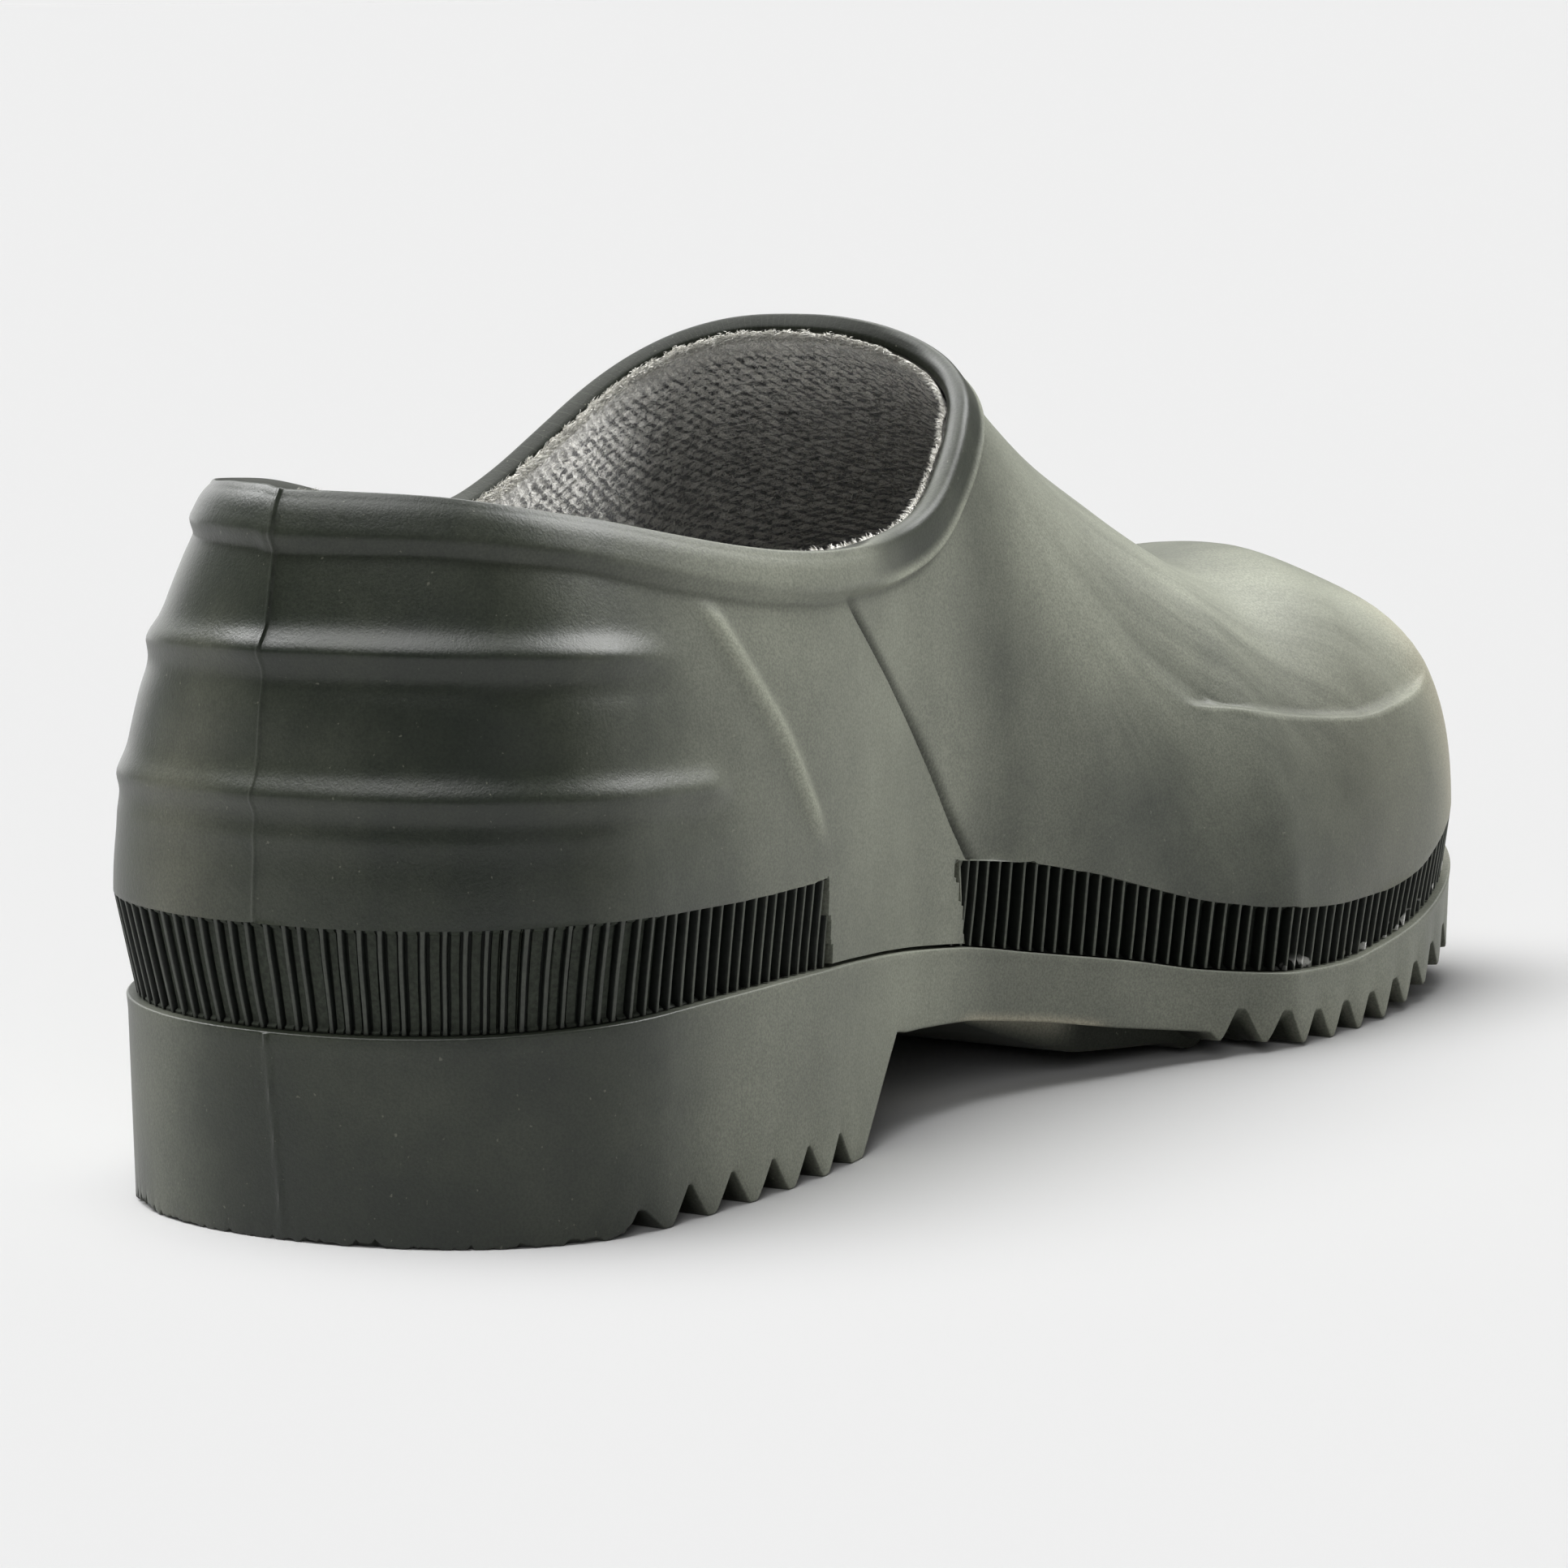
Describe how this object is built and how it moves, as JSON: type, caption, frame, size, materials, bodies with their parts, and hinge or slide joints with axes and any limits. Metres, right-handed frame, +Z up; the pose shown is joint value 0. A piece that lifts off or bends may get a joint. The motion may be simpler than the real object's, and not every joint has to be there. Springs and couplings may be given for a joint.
{
  "type": "moulded clog work shoe",
  "caption": "Closed-heel moulded work clog: hollow olive-green upper with a rolled collar, ribbed side band, and a toothed sole with a high heel and toe spring.",
  "frame": {"origin": "on the floor under the middle of the shoe's box", "axes": "+X from heel to toe, +Y to the wearer's left, +Z up"},
  "size_m": [0.2948, 0.1024, 0.1208],
  "materials": {
    "outsole": "satin moulded PVC, dusty, worn pale at the tread's edge",
    "midsole": "dark moulded PVC between upright ribs",
    "upper": "satin moulded PVC, paler and greyer toward the toe",
    "insole": "matte grey marled knit over a thin foot bed"
  },
  "bodies": {
    "root": {"outsole": "outsole", "midsole": "midsole", "upper": "upper", "insole": "insole"}
  },
  "joints": []
}
